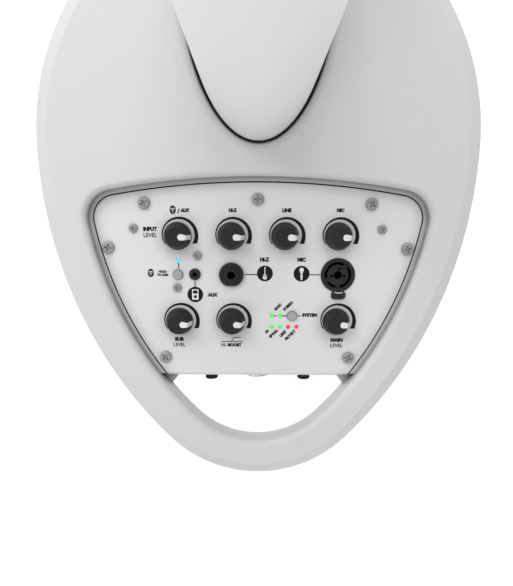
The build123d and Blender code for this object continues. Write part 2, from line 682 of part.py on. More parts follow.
def combo_tab_block(margin, low, high):
    """Outline of the release tab beside the input socket."""
    tab = RectangleRounded(11.0 + 2 * margin, 6.2 + 2 * margin, 2.9)
    return Pos(COMBO_TAB_PLACE[0], COMBO_TAB_PLACE[1], low) * extrude(tab, high - low)


def combo_release_tab():
    tab = combo_tab_block(0.0, -6, 1.6)
    tab = fillet(tab.edges().group_by(Axis.Z)[-1], 0.7)
    grip = Part()
    for index in range(3):
        grip += Pos(COMBO_TAB_PLACE[0], COMBO_TAB_PLACE[1] - 1.5 + 1.5 * index, 1.6) * Box(6.0, 0.5, 0.4)
    return Pos(0, 0, PANEL_Z) * (tab - grip)


def hiz_jack():
    bush = disc(4.9, -PANEL_THICKNESS - 3, 4.4)
    bush = chamfer(bush.edges().group_by(Axis.Z)[-1], 0.5)
    can = block(-8, 8, -8, 8, -26, -PANEL_THICKNESS - 0.2)
    body = bush + can
    body -= disc(JACK_BORE_RADIUS, -22, 9)
    return on_panel(body, HIZ_PLACE)


def hiz_nut():
    nut = disc(HIZ_NUT_RADIUS, 0, 2.4)
    nut = chamfer(nut.edges().group_by(Axis.Z)[-1], 0.7)
    nut -= block(-12, 12, HIZ_NUT_RADIUS - 0.9, 12, -1, 3)
    hexagon = Pos(0, 0, 2.4) * extrude(RegularPolygon(6.9, 6), 1.4)
    nut += chamfer(hexagon.edges().group_by(Axis.Z)[-1], 0.5)
    nut -= disc(4.95, -1, 9)
    return on_panel(nut, HIZ_PLACE)


def aux_jack():
    body = disc(AUX_RADIUS, 0, 1.3)
    body = chamfer(body.edges().group_by(Axis.Z)[-1], 0.4)
    body += disc(3.4, -PANEL_THICKNESS - 1, 0)
    body += block(-5, 5, -5, 5, -16, -PANEL_THICKNESS - 0.2)
    body -= disc(AUX_BORE_RADIUS, -15, 9)
    return on_panel(body, AUX_PLACE)


def mixer_board():
    """Circuit board that carries the controls."""
    top = PANEL_Z - PANEL_THICKNESS - 9.2
    board = block(-88, 88, 8, 104, top - 1.6, top)
    cuts = Part()
    for place in (COMBO_PLACE, HIZ_PLACE, AUX_PLACE):
        cuts += Pos(place[0], place[1], top) * Box(28, 28, 9)
    for place in KNOB_PLACES.values():
        cuts += Pos(place[0], place[1], top) * Cylinder(4, 9)
    return board - cuts


def rear_line_jacks():
    group = Part()
    for side in (1, -1):
        body = disc(REAR_BUSH_RADIUS, -3, REAR_NUT_TOP)
        nut = disc(REAR_NUT_RADIUS, REAR_NUT_TOP - REAR_NUT_THICKNESS, REAR_NUT_TOP)
        body += fillet(nut.edges().group_by(Axis.Z)[-1], 0.4)
        body += block(-8, 8, -8, 8, -24, -0.2)
        body -= disc(JACK_BORE_RADIUS, -21, REAR_NUT_TOP + 1)
        group += to_rear(body, side * REAR_JACK_X, REAR_WALL_Y, REAR_JACK_Z)
    return group


def xlr_output():
    """Three-pin output with a square flange."""
    flange_low = PANEL_THICKNESS
    plate = Pos(0, 0, flange_low) * extrude(RectangleRounded(26, 31, 2.5), 1.8)
    collar = disc(11.6, -20, XLR_COLLAR_TOP)
    body = plate + fillet(collar.edges().group_by(Axis.Z)[-1], 1.0)
    body -= disc(9.6, -8, XLR_COLLAR_TOP + 1)
    for angle in (90, 210, 330):
        pin = disc(1.2, -9, 0.5)
        body += Rotation(0, 0, angle) * Pos(4.6, 0, 0) * pin
    for corner in (1, -1):
        body -= Pos(corner * 9.6, corner * 12.2, 0) * disc(1.6, 0, 9)
    return to_rear(body, 0, REAR_WALL_Y, XLR_Z)


def amplifier_plate():
    half = AMP_PLATE_HALF_WIDTH
    plate = extrude(
        RectangleRounded(2 * half, AMP_PLATE_TOP_Z - AMP_PLATE_BOTTOM_Z, 6), AMP_PLATE_THICKNESS
    )
    plate = to_rear(plate, 0, AMP_PLATE_Y, (AMP_PLATE_TOP_Z + AMP_PLATE_BOTTOM_Z) / 2)
    plate -= block(MAINS_X - 14, MAINS_X + 14, 0, 200, MAINS_Z - 10, MAINS_Z + 10)
    plate -= block(ROCKER_X - 10.2, ROCKER_X + 10.2, 0, 200, MAINS_Z - 7.2, MAINS_Z + 7.2)
    sink_half = SINK_HALF_WIDTH - 6
    plate -= block(-sink_half, sink_half, 0, 200, SINK_BOTTOM_Z + 6, SINK_TOP_Z - 6)
    return plate - at_amplifier_screws(disc(AMP_SCREW_RADIUS + 0.2, -1, 9))


def at_amplifier_screws(shape):
    group = Part()
    side = AMP_PLATE_HALF_WIDTH - 7
    heights = (AMP_PLATE_BOTTOM_Z + 7, (AMP_PLATE_TOP_Z + AMP_PLATE_BOTTOM_Z) / 2, AMP_PLATE_TOP_Z - 7)
    for x in (-side, side):
        for z in heights:
            group += to_rear(shape, x, AMP_PLATE_Y, z)
    return group


def amplifier_screws():
    screw = disc(4.0, AMP_PLATE_THICKNESS, AMP_PLATE_THICKNESS + 2.2)
    screw = fillet(screw.edges().group_by(Axis.Z)[-1], 1.2)
    screw -= cross_slot(1.0, 4.6, 1.2, AMP_PLATE_THICKNESS + 2.2)
    screw += disc(AMP_SCREW_RADIUS, -AMP_SCREW_DEPTH, AMP_PLATE_THICKNESS)
    return at_amplifier_screws(screw)


def heat_sink():
    half = SINK_HALF_WIDTH
    face_y = AMP_PLATE_Y + AMP_PLATE_THICKNESS
    sink = block(-half, half, face_y, face_y + 4, SINK_BOTTOM_Z, SINK_TOP_Z)
    sink += block(-half + 8, half - 8, face_y - 9, face_y, SINK_BOTTOM_Z + 8, SINK_TOP_Z - 8)
    pitch = (2 * half - 3) / (SINK_FINS - 1)
    for index in range(SINK_FINS):
        x = -half + 1.5 + pitch * index
        fin = block(x - 1.5, x + 1.5, face_y + 3, face_y + 4 + SINK_FIN_DEPTH, SINK_BOTTOM_Z, SINK_TOP_Z)
        sink += fin
    return sink


def amplifier_board():
    y = AMP_PLATE_Y + AMP_PLATE_THICKNESS - 9.2
    board = block(-62, 62, y - 1.6, y, SINK_BOTTOM_Z + 10, SINK_TOP_Z - 12)
    for index in range(4):
        x = -42 + 28 * index
        board += block(x - 7, x + 7, y - 26, y - 1.6, 300, 318)
        board += Pos(x, y - 16, 250) * Cylinder(9, 34)
        board += block(x - 1, x + 1, y - 10, y - 1.6, 240, 260)
    return board


def power_supply():
    """Mains filter, transformer and supply board on the floor of the housing."""
    floor = HOUSING_BOTTOM_Z + HOUSING_WALL
    board = block(-70, 70, 10, 100, floor, floor + 2)
    board += block(-40, 10, 22, 72, floor + 2, floor + 44)
    board += block(20, 34, 22, 72, floor + 2, floor + 26)
    for index in range(3):
        board += Pos(52, 28 + 24 * index, floor + 20) * Cylinder(9, 36)
    return board


def mains_inlet():
    body = Pos(0, 0, AMP_PLATE_THICKNESS) * extrude(RectangleRounded(50, 24, 3), 2.4)
    body += block(-13.6, 13.6, -9.6, 9.6, -22, AMP_PLATE_THICKNESS + 0.5)
    body -= block(-12, 12, -8, 8, -16, 9)
    for x, y in ((-7, 2), (0, -2), (7, 2)):
        body += block(x - 1, x + 1, y - 2, y + 2, -17, -3)
    for side in (1, -1):
        body -= Pos(side * 20, 0, 0) * disc(1.7, 0, 9)
    return to_rear(body, MAINS_X, AMP_PLATE_Y, MAINS_Z)


def rocker_bezel():
    plate = Pos(0, 0, AMP_PLATE_THICKNESS) * extrude(RectangleRounded(25, 19, 2), 1.6)
    body = plate + block(-10, 10, -7, 7, -14, AMP_PLATE_THICKNESS + 0.5)
    body -= block(-8.4, 8.4, -5.4, 5.4, -11, 9)
    return to_rear(body, ROCKER_X, AMP_PLATE_Y, MAINS_Z)


def power_rocker():
    """Rocker of the mains switch, resting in its off position."""
    body = Cylinder(7.9, 10.0)
    body -= Pos(0, 16.4, 0) * Cylinder(12.0, 12.0)
    return Pos(ROCKER_X, ROCKER_PIVOT_Y, MAINS_Z) * Rotation(0, 0, ROCKER_TILT) * body


# ---- column ----
def lower_column_shell():
    """Lower half of the column; it widens a little towards its foot."""
    top = COLUMN_SPLIT_Z - COLUMN_SEAM / 2
    taper_top = TOP_Z + TAPER_HEIGHT
    shell = prism(foot_section(), SOCKET_FLOOR_Z, TOP_Z)
    shell += loft([Pos(0, 0, TOP_Z) * foot_section(), Pos(0, 0, taper_top) * neck_section()], ruled=True)
    shell += prism(neck_section(), taper_top, top)
    shell -= prism(neck_section(COLUMN_WALL), SOCKET_FLOOR_Z + 20, top + 1)
    shell -= block(-25, 25, -143, -109, SOCKET_FLOOR_Z - 1, SOCKET_FLOOR_Z + 13)
    shell -= contact_pins()
    shell -= column_window(LOWER_WINDOW_Z, COLUMN_SPLIT_Z - 14)
    return shell


def contact_pins():
    pins = Part()
    for x, y in CONTACT_PLACES:
        pins += Pos(x, y, 0) * disc(CONTACT_PIN_RADIUS, SOCKET_FLOOR_Z + 4, SOCKET_FLOOR_Z + 20)
    return pins


def column_window(low, high):
    half = NECK_HALF_WIDTH - COLUMN_WINDOW_MARGIN
    return block(-half, half, FRONT_Y - 20, FRONT_Y + 30, low, high)


def column_grille(low, high):
    gap = 0.3
    half = NECK_HALF_WIDTH - COLUMN_WINDOW_MARGIN - gap
    sheet = prism(neck_section(), low + gap, high - gap)
    sheet -= prism(neck_section(GRILLE_SHEET), low, high)
    return sheet & block(-half, half, FRONT_Y - 20, FRONT_Y + 30, low, high)


def lower_column_grille():
    return column_grille(LOWER_WINDOW_Z, COLUMN_SPLIT_Z - 14)


def lower_column_spigot():
    """Plug block at the top of the lower column that carries the upper one."""
    top = COLUMN_SPLIT_Z - COLUMN_SEAM / 2
    plug = prism(neck_section(COLUMN_WALL + 0.1), top - 22, top - 0.2)
    half = SPIGOT_HALF_WIDTH
    tongue = block(-half, half, -168, -86, top - 2, top + SPIGOT_HEIGHT)
    tongue = fillet(tongue.edges().filter_by(Axis.Z), 12)
    tongue = chamfer(tongue.edges().group_by(Axis.Z)[-1], 3)
    plug += tongue
    for index in range(4):
        plug -= Pos(-13.5 + 9 * index, -127, top + SPIGOT_HEIGHT - 8) * Cylinder(1.8, 20)
    return plug


def column_wiring():
    """Wiring trunk in the lower column, from its foot contacts to the spigot."""
    top = COLUMN_SPLIT_Z - COLUMN_SEAM / 2 - 22
    trunk = block(-18, 18, -136, -116, SOCKET_FLOOR_Z + 20, top)
    return fillet(trunk.edges().filter_by(Axis.Z), 3) + contact_pins()


def upper_column_shell():
    low = COLUMN_SPLIT_Z + COLUMN_SEAM / 2
    high = TOTAL_HEIGHT - CAP_HEIGHT
    shell = prism(neck_section(COLUMN_SEAM), low, low + COLUMN_SEAM)
    shell += prism(neck_section(), low + COLUMN_SEAM, high)
    shell -= prism(neck_section(COLUMN_WALL), low - 1, high + 1)
    shell -= column_window(low + 12, high - 10)
    return shell


def upper_column_socket():
    """Block at the bottom of the upper column that takes the spigot."""
    low = COLUMN_SPLIT_Z + COLUMN_SEAM / 2
    block_top = low + SPIGOT_HEIGHT + 14
    body = prism(neck_section(COLUMN_WALL + 0.1), low + 0.2, block_top)
    half = SPIGOT_HALF_WIDTH + SPIGOT_FIT
    cavity_top = low + SPIGOT_HEIGHT + 1
    cavity = block(-half, half, -168 - SPIGOT_FIT, -86 + SPIGOT_FIT, low - 1, cavity_top)
    body -= fillet(cavity.edges().filter_by(Axis.Z), 12)
    body &= block(-EVERYWHERE, EVERYWHERE, COLUMN_BAFFLE_Y + 0.2, EVERYWHERE, 0, EVERYWHERE)
    return body


def upper_column_cap():
    low = TOTAL_HEIGHT - CAP_HEIGHT
    cap = prism(neck_section(), low, TOTAL_HEIGHT)
    cap = fillet(cap.edges().group_by(Axis.Z)[-1], 4)
    cap += prism(neck_section(COLUMN_WALL + 0.1), low - 6, low)
    return cap


def upper_column_grille():
    low = COLUMN_SPLIT_Z + COLUMN_SEAM / 2 + 12
    return column_grille(low, TOTAL_HEIGHT - CAP_HEIGHT - 10)


def upper_column_baffle():
    low = COLUMN_SPLIT_Z + COLUMN_SEAM / 2 + 14
    high = TOTAL_HEIGHT - CAP_HEIGHT - 7
    board = column_board(low, high)
    for z in mid_heights():
        board -= to_front(disc(MID_RADIUS - 4.5, -30, 30), 0, COLUMN_BAFFLE_Y, z)
    for z in TWEETER_HEIGHTS:
        board -= to_front(disc(18, -30, 30), 0, COLUMN_BAFFLE_Y, z)
    return board


def column_board(low, high):
    """Board that fits between the inner walls of the column."""
    front = COLUMN_BAFFLE_Y - COLUMN_BAFFLE_THICKNESS
    board = prism(neck_section(COLUMN_WALL + 0.1), low, high)
    return board & block(-EVERYWHERE, EVERYWHERE, front, COLUMN_BAFFLE_Y, low, high)


def lower_column_baffle():
    return column_board(SOCKET_FLOOR_Z + 22, COLUMN_SPLIT_Z - 24)


def mid_heights():
    return [MID_FIRST_Z + MID_PITCH * index for index in range(MID_COUNT)]


def on_column_baffle(shape, z):
    return to_front(shape, 0, COLUMN_BAFFLE_Y - COLUMN_BAFFLE_THICKNESS, z)


def mid_frames():
    group = Part()
    for z in mid_heights():
        frame = driver_frame(MID_RADIUS, MID_RADIUS - 5, MID_DEPTH, MID_MAGNET_RADIUS, MID_FLANGE)
        frame += Pos(0, 0, -MID_DEPTH) * driver_magnet(MID_MAGNET_RADIUS, MID_COIL_RADIUS, 18)
        group += on_column_baffle(frame, z)
    return group


def mid_cones():
    group = Part()
    for z in mid_heights():
        cone = driver_cone(MID_CONE_RADIUS, MID_COIL_RADIUS, 17, 17, MID_FLANGE)
        group += on_column_baffle(cone, z)
    return group


def tweeters():
    """Two tweeters with horn plates and magnets."""
    group = Part()
    for z in TWEETER_HEIGHTS:
        horn = extrude(RectangleRounded(76, 58, 6), 2)
        horn += disc(17.8, -14, 0)
        horn -= Pos(0, 0, -3) * Cone(7, 16, 11)
        horn += disc(25, -30, -12)
        dome = Sphere(8.5) & Pos(0, 0, 6) * Box(20, 20, 12)
        horn += Pos(0, 0, -12.5) * dome
        group += on_column_baffle(horn, z)
    return group


# ---- writing the files ----
def build_parts():
    parts = {
        "base_housing": base_housing(),
        "top_shell": top_shell(),
        "base_feet": base_feet(),
        "column_socket": column_socket(),
        "socket_gasket": socket_gasket(),
        "front_baffle": front_baffle(),
        "port_tubes": port_tubes(),
        "base_grille": base_grille(),
        "grille_frame": grille_frame(),
        "woofer_magnets": woofer_magnets(),
        "woofer_surrounds": woofer_surrounds(),
        "woofer_screws": woofer_screws(),
        "control_panel": control_panel(),
        "panel_screws": pan_head_screws(PANEL_SCREW_PLACES, PANEL_SCREW_HEAD, 1.9, 1.5, 5.0),
        "board_screws": pan_head_screws(BOARD_SCREW_PLACES, BOARD_SCREW_HEAD, 1.4, 1.5, 8.0),
        "potentiometers": potentiometers(),
        "link_button": on_panel(push_button(), LINK_BUTTON_PLACE),
        "system_button": on_panel(push_button(), SYSTEM_BUTTON_PLACE),
        "combo_jack": combo_jack(),
        "combo_release_tab": combo_release_tab(),
        "hiz_jack": hiz_jack(),
        "hiz_nut": hiz_nut(),
        "aux_jack": aux_jack(),
        "led_link": leds(led_places()[:1]),
        "leds_green": leds(led_places()[1:5]),
        "leds_red": leds(led_places()[5:]),
        "mixer_board": mixer_board(),
        "rear_line_jacks": rear_line_jacks(),
        "xlr_output": xlr_output(),
        "amplifier_plate": amplifier_plate(),
        "amplifier_screws": amplifier_screws(),
        "heat_sink": heat_sink(),
        "amplifier_board": amplifier_board(),
        "power_supply": power_supply(),
        "mains_inlet": mains_inlet(),
        "rocker_bezel": rocker_bezel(),
        "power_rocker": power_rocker(),
        "lower_column_shell": lower_column_shell(),
        "lower_column_grille": lower_column_grille(),
        "lower_column_baffle": lower_column_baffle(),
        "lower_column_spigot": lower_column_spigot(),
        "column_wiring": column_wiring(),
        "upper_column_shell": upper_column_shell(),
        "upper_column_socket": upper_column_socket(),
        "upper_column_cap": upper_column_cap(),
        "upper_column_grille": upper_column_grille(),
        "upper_column_baffle": upper_column_baffle(),
        "mid_frames": mid_frames(),
        "mid_cones": mid_cones(),
        "tweeters": tweeters(),
    }
    for name, place in KNOB_PLACES.items():
        parts[name] = on_panel(knob(), place)
    for number, z in enumerate(WOOFER_HEIGHTS, start=1):
        parts[f"woofer_frame_{number}"] = woofer_frame(z)
        parts[f"woofer_cone_{number}"] = woofer_cone(z)
    return parts


def main():
    os.makedirs("parts", exist_ok=True)
    for name, shape in build_parts().items():
        shape.label = name
        export_step(shape, f"parts/{name}.step")


if __name__ == "__main__":
    main()
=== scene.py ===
"""Looks of the column PA system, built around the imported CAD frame."""

import json
import math

import bmesh
import bpy
from mathutils import Matrix, Vector


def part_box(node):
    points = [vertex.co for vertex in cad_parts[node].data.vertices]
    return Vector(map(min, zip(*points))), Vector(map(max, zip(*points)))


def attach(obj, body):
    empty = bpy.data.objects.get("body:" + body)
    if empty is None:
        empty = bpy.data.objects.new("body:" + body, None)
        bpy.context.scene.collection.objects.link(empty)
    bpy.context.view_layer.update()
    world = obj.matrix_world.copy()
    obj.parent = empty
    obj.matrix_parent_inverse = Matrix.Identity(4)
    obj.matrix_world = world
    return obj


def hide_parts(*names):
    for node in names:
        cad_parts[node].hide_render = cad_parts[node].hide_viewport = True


MM = 0.001
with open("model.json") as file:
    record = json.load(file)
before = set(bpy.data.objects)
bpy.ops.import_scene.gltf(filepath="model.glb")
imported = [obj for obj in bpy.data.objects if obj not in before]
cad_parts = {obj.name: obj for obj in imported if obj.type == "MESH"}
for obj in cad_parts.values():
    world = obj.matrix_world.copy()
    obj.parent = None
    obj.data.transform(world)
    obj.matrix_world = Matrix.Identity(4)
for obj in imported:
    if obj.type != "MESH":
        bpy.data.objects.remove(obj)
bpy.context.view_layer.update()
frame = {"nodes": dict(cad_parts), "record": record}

# ---- sizes shared with the CAD model, in millimetres ----
PANEL_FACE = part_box("control_panel")[1].z / MM
KNOB_RADIUS = 10.7
KNOB_TOP_RADIUS = 7.7
KNOB_EDGE = 0.9
KNOB_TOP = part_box("knob_main_level")[1].z / MM
KNOB_LIFT = 0.8
KNOB_FOOT = PANEL_FACE + KNOB_LIFT

INK_LIFT = 0.03
INK_THICKNESS = 0.05

KNOBS = [
    "knob_stream_level", "knob_hiz_level", "knob_line_level", "knob_mic_level",
    "knob_sub_level", "knob_high_boost", "knob_main_level",
]


# ---- node helpers ----
def new_material(name):
    material = bpy.data.materials.new(name)
    material.use_nodes = True
    tree = material.node_tree
    coords = tree.nodes.new("ShaderNodeTexCoord")
    return material, tree, tree.nodes["Principled BSDF"], coords.outputs["Object"]


def noise(tree, vector, scale, detail=2.0, roughness=0.5):
    node = tree.nodes.new("ShaderNodeTexNoise")
    node.inputs["Scale"].default_value = scale
    node.inputs["Detail"].default_value = detail
    node.inputs["Roughness"].default_value = roughness
    tree.links.new(vector, node.inputs["Vector"])
    return node.outputs["Fac"]


def cells(tree, vector, scale):
    node = tree.nodes.new("ShaderNodeTexVoronoi")
    node.inputs["Scale"].default_value = scale
    tree.links.new(vector, node.inputs["Vector"])
    return node.outputs["Distance"]


def stretched(tree, vector, scale):
    """Coordinates squeezed or stretched along each axis, for brushed and grained surfaces."""
    node = tree.nodes.new("ShaderNodeMapping")
    node.inputs["Scale"].default_value = scale
    tree.links.new(vector, node.inputs["Vector"])
    return node.outputs["Vector"]


def spread(tree, value, low, high):
    """Maps the middle of a noise to a range of values."""
    node = tree.nodes.new("ShaderNodeMapRange")
    node.inputs["From Min"].default_value = 0.3
    node.inputs["From Max"].default_value = 0.7
    node.inputs["To Min"].default_value = low
    node.inputs["To Max"].default_value = high
    tree.links.new(value, node.inputs["Value"])
    return node.outputs["Result"]


def colour_between(tree, value, first, second):
    node = tree.nodes.new("ShaderNodeValToRGB")
    node.color_ramp.elements[0].position = 0.3
    node.color_ramp.elements[0].color = (*first, 1)
    node.color_ramp.elements[1].position = 0.7
    node.color_ramp.elements[1].color = (*second, 1)
    tree.links.new(value, node.inputs["Fac"])
    return node.outputs["Color"]


def bumped(tree, shader, value, height, strength=1.0):
    node = tree.nodes.new("ShaderNodeBump")
    node.inputs["Distance"].default_value = height
    node.inputs["Strength"].default_value = strength
    tree.links.new(value, node.inputs["Height"])
    tree.links.new(node.outputs["Normal"], shader.inputs["Normal"])


def shaded(colour, factor):
    return tuple(min(1.0, c * factor) for c in colour)


def painted_shade_in_corners(tree, colour, reach):
    """Painted shade: darkens a colour where other surfaces are within reach, as shade falls in gaps and inner
    corners.
    """
    node = tree.nodes.new("ShaderNodeAmbientOcclusion")
    node.inputs["Distance"].default_value = reach
    tree.links.new(colour, node.inputs["Color"])
    return node.outputs["Color"]


def moulded(name, colour, rough, grain=1500.0, height=0.00004, tint=0.03, patch=9.0, shine=0.5, reach=0.0):
    """Moulded plastic or powder coat: fine grain, slow change of tone, uneven gloss."""
    material, tree, shader, vector = new_material(name)
    shader.inputs["Specular IOR Level"].default_value = shine
    tone = noise(tree, vector, patch, 3.0)
    mixed = colour_between(tree, tone, shaded(colour, 1 - tint), shaded(colour, 1 + tint))
    # A reach above zero adds painted shade: the colour darkens in gaps and inner corners.
    if reach:
        mixed = painted_shade_in_corners(tree, mixed, reach)
    tree.links.new(mixed, shader.inputs["Base Color"])
    fine = noise(tree, vector, grain, 3.0, 0.6)
    tree.links.new(spread(tree, fine, rough - 0.05, rough + 0.05), shader.inputs["Roughness"])
    bumped(tree, shader, fine, height)
    return material


def metal(name, colour, rough, direction, height=0.00001, metallic=1.0):
    """Brushed or turned metal with streaks along one direction."""
    material, tree, shader, vector = new_material(name)
    shader.inputs["Metallic"].default_value = metallic
    streaks = noise(tree, stretched(tree, vector, direction), 1.0, 3.0)
    mixed = colour_between(tree, streaks, shaded(colour, 0.88), shaded(colour, 1.1))
    tree.links.new(mixed, shader.inputs["Base Color"])
    tree.links.new(spread(tree, streaks, rough - 0.08, rough + 0.08), shader.inputs["Roughness"])
    bumped(tree, shader, streaks, height)
    return material


def painted_board(name):
    """Black textured paint over board: coarse spatter and a faint grain."""
    material, tree, shader, vector = new_material(name)
    grain = noise(tree, stretched(tree, vector, (40, 40, 4)), 1.0, 4.0)
    paint = colour_between(tree, grain, (0.012, 0.012, 0.012), (0.022, 0.021, 0.02))
    tree.links.new(paint, shader.inputs["Base Color"])
    spatter = noise(tree, vector, 420.0, 4.0, 0.7)
    tree.links.new(spread(tree, spatter, 0.5, 0.75), shader.inputs["Roughness"])
    bumped(tree, shader, spatter, 0.0003)
    return material


def fibre(name, colour):
    """Pressed paper cone: long fibres and dull cells."""
    material, tree, shader, vector = new_material(name)
    fibres = noise(tree, stretched(tree, vector, (500, 900, 240)), 1.0, 5.0, 0.7)
    mixed = colour_between(tree, fibres, shaded(colour, 0.7), shaded(colour, 1.4))
    tree.links.new(mixed, shader.inputs["Base Color"])
    pulp = cells(tree, vector, 700.0)
    tree.links.new(spread(tree, pulp, 0.6, 0.8), shader.inputs["Roughness"])
    bumped(tree, shader, fibres, 0.0002)
    return material


def circuit(name):
    """Green board: solder mask with lighter tracks."""
    material, tree, shader, vector = new_material(name)
    tracks = tree.nodes.new("ShaderNodeTexBrick")
    tracks.inputs["Scale"].default_value = 90.0
    tracks.inputs["Color1"].default_value = (0.01, 0.09, 0.04, 1)
    tracks.inputs["Color2"].default_value = (0.02, 0.13, 0.06, 1)
    tracks.inputs["Mortar"].default_value = (0.06, 0.25, 0.12, 1)
    tree.links.new(vector, tracks.inputs["Vector"])
    tree.links.new(tracks.outputs["Color"], shader.inputs["Base Color"])
    fine = noise(tree, vector, 300.0)
    tree.links.new(spread(tree, fine, 0.25, 0.4), shader.inputs["Roughness"])
    bumped(tree, shader, tracks.outputs["Fac"], 0.00005)
    return material


def lit_lens(name, colour, strength):
    """Lit lens: glowing colour with a slightly uneven tone and skin."""
    material, tree, shader, vector = new_material(name)
    tone = noise(tree, vector, 600.0, 1.0)
    mixed = colour_between(tree, tone, shaded(colour, 0.85), colour)
    tree.links.new(mixed, shader.inputs["Base Color"])
    tree.links.new(mixed, shader.inputs["Emission Color"])
    shader.inputs["Emission Strength"].default_value = strength
    shader.inputs["Roughness"].default_value = 0.3
    bumped(tree, shader, tone, 0.00002)
    return material


WHITE = (0.625, 0.625, 0.63)
# Painted light: a brighter copy of the shell white for the column casings, standing in for light on the
# column's rear face; the grille powder coat shares it.
LIT_COLUMN_WHITE = (0.75, 0.75, 0.755)
PANEL_SILVER = (0.70, 0.70, 0.71)
MATERIALS = {
    # The shell and panel colours carry painted shade in gaps and inner corners, through reach.
    "shell_plastic": moulded("shell_plastic_white", WHITE, 0.5, 1300.0, 0.00006, 0.012, 5.0, reach=0.009),
    "grille_steel": moulded("grille_powder_coat", LIT_COLUMN_WHITE, 0.45, 900.0, 0.00003, 0.015, 7.0),
    "panel_sheet": moulded(
        "panel_silver_paint", PANEL_SILVER, 0.42, 1700.0, 0.00002, 0.012, 12.0, reach=0.012
    ),
    "dark_plastic": moulded("dark_plastic", (0.022, 0.022, 0.023), 0.5, 1100.0, 0.00004, 0.12, 60.0, 0.15),
    "button_plastic": moulded("button_grey", (0.36, 0.36, 0.365), 0.45, 1300.0, 0.00003, 0.03, 80.0),
    "screw_steel": metal("screw_steel", (0.34, 0.34, 0.35), 0.5, (300, 900, 300), 0.00001, 0.5),
    "rubber": moulded("rubber", (0.018, 0.018, 0.018), 0.72, 800.0, 0.0001, 0.15, 40.0),
    "baffle_board": painted_board("baffle_black"),
    "cone_paper": fibre("cone_paper", (0.03, 0.03, 0.031)),
    "magnet_iron": metal("magnet_iron", (0.16, 0.16, 0.165), 0.5, (60, 60, 60), 0.00005, 0.8),
    "basket_steel": moulded("basket_black", (0.03, 0.03, 0.03), 0.4, 900.0, 0.00004, 0.1, 30.0),
    "bare_aluminium": metal("sink_aluminium", (0.5, 0.5, 0.51), 0.38, (900, 900, 6), 0.00002, 0.9),
    "plate_black": moulded("amplifier_plate_black", (0.022, 0.022, 0.023), 0.5, 700.0, 0.00008, 0.1, 20.0),
    "circuit_board": circuit("circuit_board"),
    "connector_metal": metal("connector_nickel", (0.55, 0.55, 0.54), 0.3, (500, 500, 60), 0.00001),
    "led_cyan": lit_lens("led_cyan", (0.02, 0.66, 0.86), 0.6),
    "led_green": lit_lens("led_green", (0.06, 0.72, 0.06), 0.5),
    "led_red": lit_lens("led_red", (0.72, 0.03, 0.04), 0.4),
}
INK = moulded("ink_black", (0.012, 0.012, 0.013), 0.6, 2500.0, 0.000005, 0.1, 200.0, 0.1)
COLUMN_CASINGS = ("lower_column_shell", "upper_column_shell", "upper_column_cap")
# Painted light: the column casings get the brighter white in place of light on their rear face.
COLUMN_PAINTED_LIGHT_WHITE = moulded("column_white_painted_light", LIT_COLUMN_WHITE, 0.5, 1300.0, 0.00006, 0.012, 5.0)
# Painted shade: grey for the ring that stands in for the shade in each button's gap.
BUTTON_GAP_SHADE_INK = moulded("button_gap_shade_grey", (0.16, 0.16, 0.165), 0.5, 2500.0, 0.000005, 0.05, 200.0)
WHITE_INK = moulded("ink_white", (0.78, 0.78, 0.78), 0.5, 2500.0, 0.000005, 0.02, 200.0)
POINTER = moulded("pointer_white", (0.74, 0.74, 0.73), 0.42, 1800.0, 0.00002, 0.02, 150.0)


def paint_cad_nodes():
    for row in frame["record"]["subparts"]:
        material = MATERIALS[row["material_slot"]]
        # Column casings take the brighter white: painted light on the same plastic as the shell.
        if row["node"] in COLUMN_CASINGS:
            material = COLUMN_PAINTED_LIGHT_WHITE
        mesh = frame["nodes"][row["node"]].data
        mesh.materials.clear()
        mesh.materials.append(material)


# ---- mesh helpers ----
def add_piece(name, bm, material, body):
    mesh = bpy.data.meshes.new(name)
    bm.to_mesh(mesh)
    bm.free()
    mesh.materials.append(material)
    piece = bpy.data.objects.new(name, mesh)
    bpy.context.scene.collection.objects.link(piece)
    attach(piece, body)
    return piece


def centre(node):
    low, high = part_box(node)
    return (low + high) / 2 / MM


def reader_to_model(lift):
    """Panel drawings are (right, up) as the player at the rear reads them; right is -X and up is -Y."""
    height = (PANEL_FACE + lift) * MM
    return Matrix.Translation((0, 0, height)) @ Matrix.Rotation(math.pi, 4, "Z") @ Matrix.Scale(MM, 4)


def curve_to_bmesh(bm, curve, matrix):
    """Adds the curve's filled and extruded mesh to bm and drops the curve."""
    holder = bpy.data.objects.new(curve.name, curve)
    bpy.context.scene.collection.objects.link(holder)
    graph = bpy.context.evaluated_depsgraph_get()
    mesh = bpy.data.meshes.new_from_object(holder.evaluated_get(graph))
    mesh.transform(matrix)
    bm.from_mesh(mesh)
    bpy.data.objects.remove(holder)
    bpy.data.curves.remove(curve)
    bpy.data.meshes.remove(mesh)


def add_shape(bm, loops, lift=INK_LIFT):
    """A flat printed shape of one outline and its holes."""
    curve = bpy.data.curves.new("shape", "CURVE")
    curve.dimensions = "2D"
    curve.fill_mode = "BOTH"
    curve.extrude = INK_THICKNESS / 2
    for loop in loops:
        spline = curve.splines.new("POLY")
        spline.points.add(len(loop) - 1)
        for point, (right, up) in zip(spline.points, loop):
            point.co = (right, up, 0, 1)
        spline.use_cyclic_u = True
    curve_to_bmesh(bm, curve, reader_to_model(lift))


